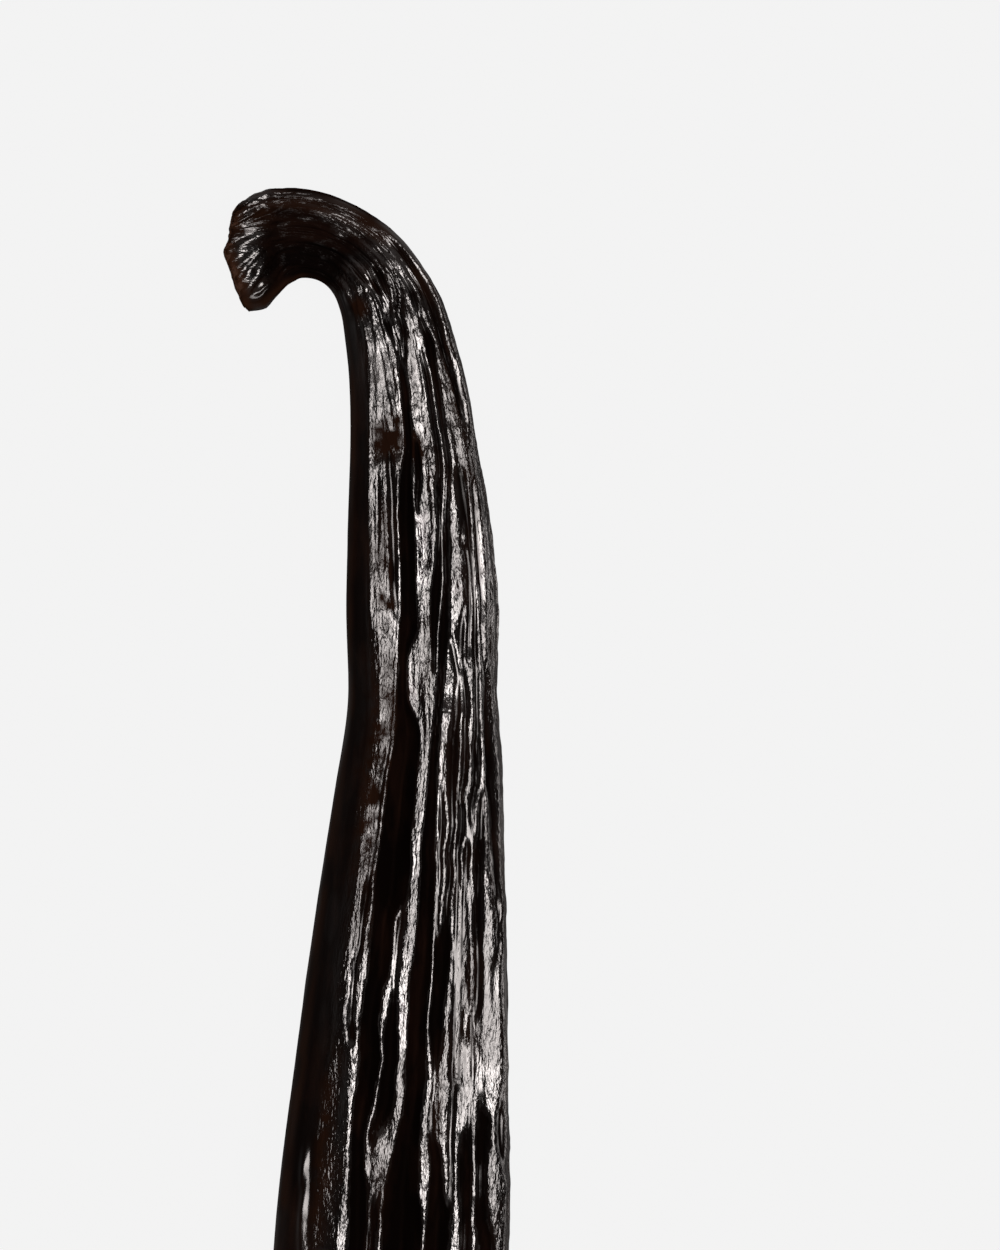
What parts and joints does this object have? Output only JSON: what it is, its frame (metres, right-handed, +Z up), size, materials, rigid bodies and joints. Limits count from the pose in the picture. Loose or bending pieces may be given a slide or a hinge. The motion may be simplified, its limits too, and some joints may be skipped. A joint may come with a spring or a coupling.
{
  "type": "vanilla pod",
  "caption": "Cured vanilla pod, long, ribbed and slightly flattened, with a hooked and flared stem end and a tapered tip.",
  "frame": {"origin": "on the surface that the pod lies on, under the middle of its box", "axes": "+Z up, +Y along the pod towards the hooked stem end, +X towards the outer side of the hook"},
  "size_m": [0.0202, 0.1748, 0.0067],
  "materials": {
    "cured_pod_skin": "oily, wrinkled, almost black brown skin with a soft sheen on the ribs"
  },
  "bodies": {
    "root": {"pod": "cured_pod_skin"}
  },
  "joints": []
}
